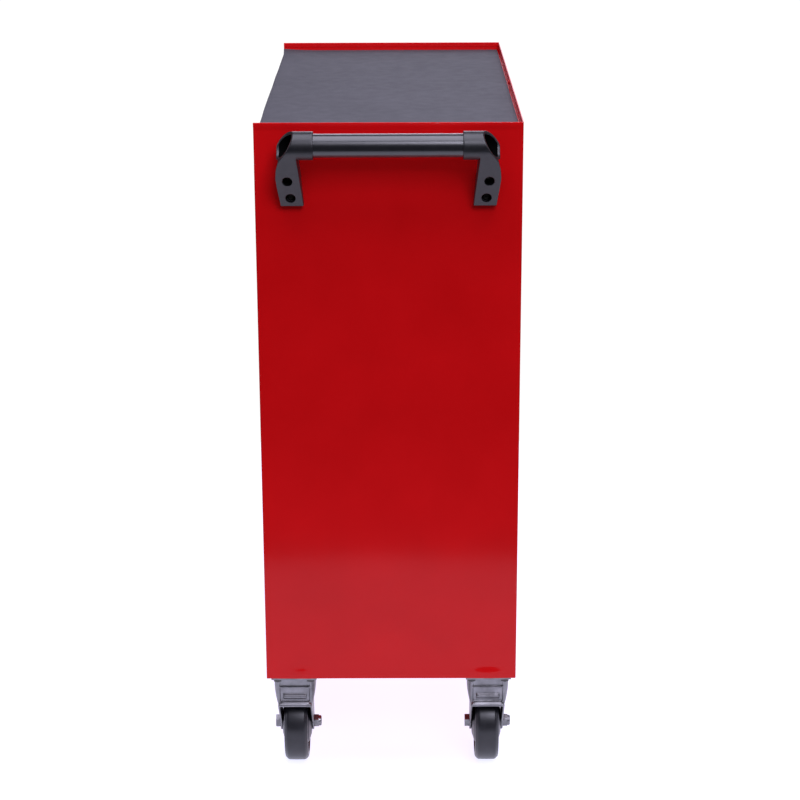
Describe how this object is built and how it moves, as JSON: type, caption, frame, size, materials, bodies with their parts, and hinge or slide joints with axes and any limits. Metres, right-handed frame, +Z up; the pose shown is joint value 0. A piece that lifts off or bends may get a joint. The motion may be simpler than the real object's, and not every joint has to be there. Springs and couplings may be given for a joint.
{
  "type": "rolling tool box",
  "caption": "Tall narrow steel tool cabinet with stacked sliding drawers, a raised-rim matted top, an end push handle and swivel and fixed casters.",
  "frame": {"origin": "on the floor under the centre of the whole object's box", "axes": "+Z up, +X towards the end with the push handle, -Y towards the drawer fronts"},
  "size_m": [0.7528, 0.33, 0.891],
  "materials": {
    "cabinet_red": "gloss powder coat, fine orange peel",
    "drawer_red": "gloss powder coat, fine orange peel",
    "inner_steel": "thin powder coat",
    "slide_steel": "zinc plated",
    "mat_rubber": "fine textured mat",
    "liner_rubber": "fine ribbed foam",
    "handle_black": "gloss black coating",
    "bracket_plastic": "fine grained moulded plastic",
    "screw_steel": "zinc plated",
    "lock_chrome": "bright",
    "pull_aluminium": "satin anodised",
    "zinc_steel": "bright zinc plated stamping",
    "wheel_black": "semi-gloss moulded wheel"
  },
  "bodies": {
    "cabinet": {"side_panel_right": "cabinet_red", "side_panel_left": "cabinet_red", "back_panel": "cabinet_red", "top_panel": "cabinet_red", "base_pan": "cabinet_red", "slide_uprights": "inner_steel", "drawer_slide_channels": "slide_steel", "top_mat": "mat_rubber", "handle_tube": "handle_black", "handle_bracket_front": "bracket_plastic", "handle_bracket_rear": "bracket_plastic", "handle_screws": "screw_steel", "lock_housing": "lock_chrome", "caster_bolts": "screw_steel", "caster_plate_front_right": "zinc_steel", "caster_plate_rear_right": "zinc_steel", "caster_plate_front_left": "zinc_steel", "caster_fork_front_left": "zinc_steel", "caster_axle_front_left": "zinc_steel", "caster_nut_front_left": "zinc_steel", "caster_plate_rear_left": "zinc_steel", "caster_fork_rear_left": "zinc_steel", "caster_axle_rear_left": "zinc_steel", "caster_nut_rear_left": "zinc_steel"},
    "drawer_1": {"drawer_1_tray": "drawer_red", "drawer_1_pull": "pull_aluminium", "drawer_1_liner": "liner_rubber", "drawer_1_runners": "slide_steel"},
    "drawer_2": {"drawer_2_tray": "drawer_red", "drawer_2_pull": "pull_aluminium", "drawer_2_liner": "liner_rubber", "drawer_2_runners": "slide_steel"},
    "drawer_3": {"drawer_3_tray": "drawer_red", "drawer_3_pull": "pull_aluminium", "drawer_3_liner": "liner_rubber", "drawer_3_runners": "slide_steel"},
    "drawer_4": {"drawer_4_tray": "drawer_red", "drawer_4_pull": "pull_aluminium", "drawer_4_liner": "liner_rubber", "drawer_4_runners": "slide_steel"},
    "drawer_5": {"drawer_5_tray": "drawer_red", "drawer_5_pull": "pull_aluminium", "drawer_5_liner": "liner_rubber", "drawer_5_runners": "slide_steel"},
    "drawer_6": {"drawer_6_tray": "drawer_red", "drawer_6_pull": "pull_aluminium", "drawer_6_liner": "liner_rubber", "drawer_6_runners": "slide_steel"},
    "lock_plug": {"lock_plug": "lock_chrome"},
    "lock_bar": {"lock_bar": "slide_steel"},
    "swivel_front_right": {"caster_fork_front_right": "zinc_steel", "caster_axle_front_right": "zinc_steel", "caster_nut_front_right": "zinc_steel"},
    "wheel_front_right": {"caster_wheel_front_right": "wheel_black"},
    "swivel_rear_right": {"caster_fork_rear_right": "zinc_steel", "caster_axle_rear_right": "zinc_steel", "caster_nut_rear_right": "zinc_steel"},
    "wheel_rear_right": {"caster_wheel_rear_right": "wheel_black"},
    "wheel_front_left": {"caster_wheel_front_left": "wheel_black"},
    "wheel_rear_left": {"caster_wheel_rear_left": "wheel_black"}
  },
  "joints": [
    {"name": "drawer_1_slide", "type": "slide", "parent": "cabinet", "child": "drawer_1", "axis": [0, -1, 0], "range_m": [0, 0.215]},
    {"name": "drawer_2_slide", "type": "slide", "parent": "cabinet", "child": "drawer_2", "axis": [0, -1, 0], "range_m": [0, 0.215]},
    {"name": "drawer_3_slide", "type": "slide", "parent": "cabinet", "child": "drawer_3", "axis": [0, -1, 0], "range_m": [0, 0.215]},
    {"name": "drawer_4_slide", "type": "slide", "parent": "cabinet", "child": "drawer_4", "axis": [0, -1, 0], "range_m": [0, 0.215]},
    {"name": "drawer_5_slide", "type": "slide", "parent": "cabinet", "child": "drawer_5", "axis": [0, -1, 0], "range_m": [0, 0.215]},
    {"name": "drawer_6_slide", "type": "slide", "parent": "cabinet", "child": "drawer_6", "axis": [0, -1, 0], "range_m": [0, 0.215]},
    {"name": "lock_turn", "type": "hinge", "parent": "cabinet", "child": "lock_plug", "pos_m": [0.2542, -0.159, 0.859], "axis": [0, 1, 0], "range_deg": [0, 90]},
    {"name": "lock_bar_lift", "type": "slide", "parent": "cabinet", "child": "lock_bar", "axis": [0, 0, 1], "range_m": [0, 0.008]},
    {"name": "swivel_front_right", "type": "hinge", "parent": "cabinet", "child": "swivel_front_right", "pos_m": [0.2722, -0.129, 0.14], "axis": [0, 0, 1], "continuous": true},
    {"name": "wheel_front_right_spin", "type": "hinge", "parent": "swivel_front_right", "child": "wheel_front_right", "pos_m": [0.2442, -0.129, 0.053], "axis": [0, 1, 0], "continuous": true},
    {"name": "swivel_rear_right", "type": "hinge", "parent": "cabinet", "child": "swivel_rear_right", "pos_m": [0.2722, 0.129, 0.14], "axis": [0, 0, 1], "continuous": true},
    {"name": "wheel_rear_right_spin", "type": "hinge", "parent": "swivel_rear_right", "child": "wheel_rear_right", "pos_m": [0.2442, 0.129, 0.053], "axis": [0, 1, 0], "continuous": true},
    {"name": "wheel_front_left_spin", "type": "hinge", "parent": "cabinet", "child": "wheel_front_left", "pos_m": [-0.3198, -0.129, 0.053], "axis": [0, 1, 0], "continuous": true},
    {"name": "wheel_rear_left_spin", "type": "hinge", "parent": "cabinet", "child": "wheel_rear_left", "pos_m": [-0.3198, 0.129, 0.053], "axis": [0, 1, 0], "continuous": true}
  ],
  "couplings": [
    {"joint": "lock_turn", "follows": "lock_bar_lift", "rad_per_m": 196.15}
  ]
}
